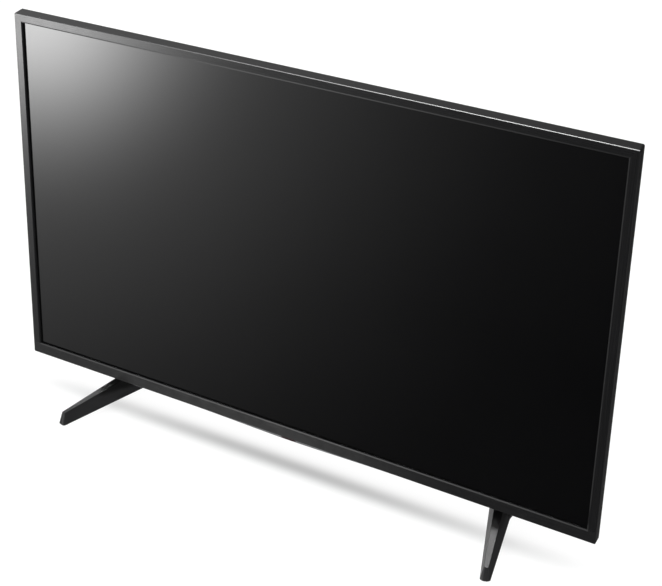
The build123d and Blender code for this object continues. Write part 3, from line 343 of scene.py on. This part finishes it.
def pale_moulding(t):
    cloud = t.noise(t.scaled(30.0, 30.0, 30.0), 1.0, 3.0, 0.5)
    fine = t.noise(t.scaled(1200.0, 1200.0, 1200.0), 1.0, 2.0, 0.5)
    return {"Base Color": t.ramp(cloud, (0.3, (0.80, 0.80, 0.78)), (0.7, (0.88, 0.88, 0.87))),
            "Roughness": t.remap(fine, 0.3, 0.7, 0.42, 0.55), "Normal": t.bump(fine, 0.15, 0.04 * MM)}


def flex_finish(t):
    line = t.math("SINE", t.math("MULTIPLY", t.xyz(t.co())[0], 2 * math.pi / 0.0008))
    cloud = t.noise(t.scaled(80.0, 80.0, 80.0), 1.0, 2.0, 0.5)
    return {"Base Color": t.mix(t.remap(line, 0.2, 0.6, 0.0, 1.0), (0.33, 0.15, 0.03), (0.55, 0.30, 0.08)),
            "Roughness": t.remap(cloud, 0.3, 0.7, 0.25, 0.4), "Normal": t.bump(line, 0.2, 0.03 * MM)}


def led_finish(t):
    blob = t.noise(t.scaled(900.0, 900.0, 900.0), 1.0, 2.0, 0.5)
    return {"Base Color": t.ramp(blob, (0.3, (0.75, 0.60, 0.10)), (0.7, (0.90, 0.80, 0.25))), "Roughness": t.remap(blob, 0.3, 0.7, 0.2, 0.35)}


def clear_finish(t):
    ripple = t.noise(t.scaled(500.0, 500.0, 500.0), 1.0, 2.0, 0.5)
    return {"Roughness": t.remap(ripple, 0.3, 0.7, 0.03, 0.08), "Normal": t.bump(ripple, 0.1, 0.05 * MM)}


def black_oxide(t):
    fine = t.noise(t.scaled(1500.0, 1500.0, 1500.0), 1.0, 3.0, 0.6)
    wear = t.noise(t.scaled(500.0, 500.0, 500.0), 1.0, 3.0, 0.6)
    base = t.mix(t.remap(wear, 0.56, 0.68, 0.0, 0.7), (0.020, 0.020, 0.022), (0.20, 0.20, 0.21))
    return {"Base Color": base, "Roughness": t.remap(fine, 0.3, 0.7, 0.26, 0.42), "Normal": t.bump(fine, 0.15, 0.04 * MM)}


def epoxy(t):
    fine = t.noise(t.scaled(1700.0, 1700.0, 1700.0), 1.0, 3.0, 0.6)
    cloud = t.noise(t.scaled(200.0, 200.0, 200.0), 1.0, 2.0, 0.5)
    return {"Base Color": t.ramp(cloud, (0.3, (0.012, 0.012, 0.013)), (0.7, (0.022, 0.022, 0.023))),
            "Roughness": t.remap(fine, 0.3, 0.7, 0.35, 0.5), "Normal": t.bump(fine, 0.15, 0.03 * MM)}


def wound(t):
    layer = t.math("SINE", t.math("MULTIPLY", t.xyz(t.co())[2], 2 * math.pi / 0.0022))
    fine = t.noise(t.scaled(300.0, 300.0, 300.0), 1.0, 3.0, 0.5)
    base = t.mix(t.remap(layer, 0.6, 0.9, 0.0, 1.0), (0.62, 0.45, 0.05), (0.75, 0.60, 0.12))
    return {"Base Color": base, "Roughness": t.remap(fine, 0.3, 0.7, 0.3, 0.5), "Normal": t.bump(layer, 0.3, 0.15 * MM)}


def can_finish(t):
    x, y, z = t.xyz(t.co())
    fine = t.noise(t.scaled(700.0, 700.0, 700.0), 1.0, 3.0, 0.5)
    stripe = t.math("SINE", t.math("MULTIPLY", x, 2 * math.pi / 0.020))
    return {"Base Color": t.mix(t.remap(stripe, 0.7, 0.8, 0.0, 1.0), (0.012, 0.013, 0.035), (0.30, 0.31, 0.34)),
            "Roughness": t.remap(fine, 0.3, 0.7, 0.25, 0.4), "Normal": t.bump(fine, 0.1, 0.05 * MM)}


def ribbon_finish(t):
    x, y, z = t.xyz(t.co())
    a = t.math("SINE", t.math("MULTIPLY", t.math("ADD", x, z), 2 * math.pi / 0.0014))
    fine = t.noise(t.scaled(200.0, 200.0, 200.0), 1.0, 3.0, 0.5)
    return {"Base Color": t.mix(t.remap(a, 0.5, 0.9, 0.0, 1.0), (0.78, 0.78, 0.76), (0.55, 0.55, 0.56)),
            "Roughness": t.remap(fine, 0.3, 0.7, 0.35, 0.5), "Normal": t.bump(a, 0.3, 0.1 * MM)}


def cone_finish(t):
    fibre = t.noise(t.scaled(500.0, 500.0, 500.0), 1.0, 5.0, 0.75, 1.2)
    cloud = t.noise(t.scaled(90.0, 90.0, 90.0), 1.0, 3.0, 0.5)
    return {"Base Color": t.ramp(fibre, (0.3, (0.012, 0.012, 0.013)), (0.7, (0.035, 0.035, 0.036))),
            "Roughness": t.remap(cloud, 0.3, 0.7, 0.65, 0.85), "Normal": t.bump(fibre, 0.4, 0.2 * MM)}


def cast_finish(t):
    fine = t.noise(t.scaled(600.0, 600.0, 600.0), 1.0, 5.0, 0.7)
    return {"Base Color": t.ramp(fine, (0.3, (0.04, 0.04, 0.045)), (0.7, (0.09, 0.09, 0.10))),
            "Roughness": t.remap(fine, 0.3, 0.7, 0.4, 0.6), "Normal": t.bump(fine, 0.3, 0.15 * MM)}


COVER = moulded((0.0125, 0.0125, 0.0130), (0.0175, 0.0175, 0.0182), 0.50, 0.60, 0.55, 0.10, 0.05)


def cover_finish(t):
    made = COVER(t)
    x, y, z = t.xyz(t.co())
    # painted shade: the cover's sides are darkened towards their outer ends
    painted_shade_sides = t.remap(t.math("ABSOLUTE", x), 0.4825, 0.4845, 0.0, 0.75)
    made["Base Color"] = t.mix(painted_shade_sides, made["Base Color"], (0.0020, 0.0020, 0.0022))
    return made


FINISH = {
    "bezel_plastic": material("bezel_plastic", bezel_finish, IOR=1.40),
    "lens_plastic": material("lens_plastic", lens_finish, IOR=1.49),
    "foam": material("foam", rubber_finish(), IOR=1.4),
    "panel_glass": material("panel_glass", panel_finish, IOR=1.5),
    "flex_film": material("flex_film", flex_finish),
    "pcb": material("pcb", board_finish),
    "frame_plastic": material("frame_plastic", moulded((0.010, 0.010, 0.010), (0.015, 0.015, 0.015), 0.5, 0.6, 0.7)),
    "film_clear": material("film_clear", film_finish),
    "diffuser": material("diffuser", pale_moulding),
    "white_plastic": material("white_plastic", pale_moulding),
    "reflector": material("reflector", pale_moulding),
    "led_pcb": material("led_pcb", pale_moulding),
    "led": material("led", led_finish),
    "clear_lens": material("clear_lens", clear_finish, Transmission_Weight=0.9, Base_Color=(0.95, 0.95, 0.95), IOR=1.49),
    "steel_sheet": material("steel_sheet", sheet_metal((0.42, 0.43, 0.44), (0.62, 0.63, 0.64), 0.28, 0.42), Metallic=1.0),
    "steel_bright": material("steel_bright", sheet_metal((0.55, 0.55, 0.56), (0.70, 0.70, 0.71), 0.22, 0.32, False), Metallic=1.0),
    "screw_black": material("screw_black", black_oxide, Metallic=0.85),
    "component_dark": material("component_dark", epoxy),
    "component_wound": material("component_wound", wound),
    "capacitor": material("capacitor", can_finish),
    "heatsink": material("heatsink", sheet_metal((0.40, 0.40, 0.42), (0.58, 0.58, 0.60), 0.3, 0.45, False), Metallic=1.0),
    "tin_can": material("tin_can", sheet_metal((0.55, 0.55, 0.54), (0.72, 0.72, 0.70), 0.22, 0.34), Metallic=1.0),
    "socket_metal": material("socket_metal", sheet_metal((0.52, 0.52, 0.52), (0.70, 0.70, 0.70), 0.2, 0.3, False), Metallic=1.0),
    "socket_plastic": material("socket_plastic", epoxy),
    "ribbon": material("ribbon", ribbon_finish),
    "lead_black": material("lead_black", rubber_finish()),
    "button": material("button", moulded((0.012, 0.012, 0.0125), (0.017, 0.017, 0.0175), 0.38, 0.48, 0.35)),
    "stalk_white": material("stalk_white", pale_moulding),
    "speaker_shell": material("speaker_shell", moulded((0.010, 0.010, 0.010), (0.015, 0.015, 0.015), 0.5, 0.62, 0.7)),
    "cone": material("cone", cone_finish),
    "surround": material("surround", rubber_finish()),
    "magnet": material("magnet", cast_finish, Metallic=0.6),
    "cover_plastic": material("cover_plastic", cover_finish, IOR=1.46),
    "foot_gloss": material("foot_gloss", painted_foot, IOR=1.5),
    "pad_rubber": material("pad_rubber", rubber_finish()),
}
SLOT_OF = {s["node"]: s["material_slot"] for s in frame["record"]["subparts"]}
for name, obj in NODES.items():
    obj.data.materials.clear()
    obj.data.materials.append(FINISH[SLOT_OF[name]])

# ------------------------------------------------------------------ studio
world = bpy.data.worlds.new("studio")
scene.world = world
world.use_nodes = True
world.cycles.sampling_method = "NONE"
w = Tree(world.node_tree)
w.n.clear()
direction = w.vmath("NORMALIZE", w.new("ShaderNodeTexCoord").outputs["Generated"])


def lobe(centre, k, amount):
    """A soft lamp in one direction: amount at its middle, falling off faster for a larger k."""
    c = Vector(centre).normalized()
    d = w.vmath("DOT_PRODUCT", direction, tuple(c))
    e = w.math("EXPONENT", w.math("MULTIPLY", w.math("SUBTRACT", d, 1.0), k))
    return w.math("MULTIPLY", e, amount)


LOBES = [
    ((-0.632, -0.723, -0.277), 540.0, 14.5),
    ((-0.632, -0.723, -0.277), 60.0, 1.40),
    ((-0.355, -0.368, 0.860), 60.0, 105.0),
    ((-0.70, 0.42, 0.58), 14.0, 0.85),
    ((-0.33, 0.44, 0.84), 60.0, 0.95),
    ((-0.56, -0.335, -0.76), 60.0, 2.3),
    ((-0.83, -0.43, -0.35), 40.0, 0.55),
    ((-0.45, -0.88, 0.12), 40.0, 2.9),
    ((-0.50, 0.44, -0.74), 10.0, 0.9),
    ((0.95, 0.10, -0.05), 6.0, 0.06),
    ((0.773, -0.467, -0.43), 25.0, 0.9),
]
total = 0.030
for spec in LOBES:
    total = w.math("ADD", lobe(*spec), total)
ray = w.new("ShaderNodeLightPath")
level = w.mixf(ray.outputs["Is Glossy Ray"], 0.93, total)
level = w.mixf(ray.outputs["Is Camera Ray"], level, 1.05)
bg = w.new("ShaderNodeBackground")
bg.inputs[0].default_value = (1.0, 1.0, 1.0, 1.0)
w.put(bg.inputs[1], level)
w.l.new(bg.outputs[0], w.new("ShaderNodeOutputWorld").inputs["Surface"])


def area(name, place, aim, size, size_y, power, glossy=False):
    data = bpy.data.lights.new(name, "AREA")
    data.shape = "RECTANGLE"
    data.size, data.size_y, data.energy = size, size_y, power
    ob = bpy.data.objects.new(name, data)
    scene.collection.objects.link(ob)
    ob.location = place
    ob.rotation_mode = "QUATERNION"
    ob.rotation_quaternion = (Vector(aim) - Vector(place)).to_track_quat("-Z", "Y")
    ob.visible_camera = False
    ob.visible_glossy = glossy
    return ob


area("overhead", (0.0, 0.02, 3.2), (0.0, 0.0, 0.0), 1.6, 0.30, 20.0)
area("front", (-1.2, -4.2, 1.9), (0.0, 0.0, 0.3), 3.0, 1.2, 20.0)

mesh = bpy.data.meshes.new("floor")
bm = bmesh.new()
bmesh.ops.create_grid(bm, x_segments=8, y_segments=8, size=14.0)
bm.to_mesh(mesh)
bm.free()
floor = bpy.data.objects.new("floor", mesh)
scene.collection.objects.link(floor)


def floor_finish(t):
    grain = t.noise(t.scaled(3.0, 3.0, 3.0), 1.0, 2.0, 0.5)
    x, y, z = t.xyz(t.co())
    # glowing sheet: white everywhere but for one soft painted shadow band under the set, fading out past the feet
    off = t.math("ADD", y, 0.0095)
    painted_shadow_across = t.math("EXPONENT", t.math("MULTIPLY", t.math("MULTIPLY", off, off), -1.0 / (2 * 0.0140 ** 2)))
    reach = t.math("MULTIPLY", t.math("ABSOLUTE", t.math("ADD", x, 0.010)), 1.0 / 0.500)
    along = t.math("MAXIMUM", t.math("SUBTRACT", 1.0, t.math("POWER", reach, 1.9)), 0.0)
    level = t.math("SUBTRACT", 1.0, t.math("MULTIPLY", t.math("MULTIPLY", painted_shadow_across, along), 0.530))
    return {"Base Color": t.ramp(grain, (0.3, (0.040, 0.040, 0.040)), (0.7, (0.046, 0.046, 0.046))),
            "Emission Color": t.ramp(grain, (0.3, (0.99, 0.99, 0.99)), (0.7, (1.0, 1.0, 1.0))),
            "Emission Strength": t.math("MULTIPLY", level, 0.985)}


floor.data.materials.append(material("floor", floor_finish, Roughness=0.9))
floor.visible_glossy = False
floor.location.z = -0.0002
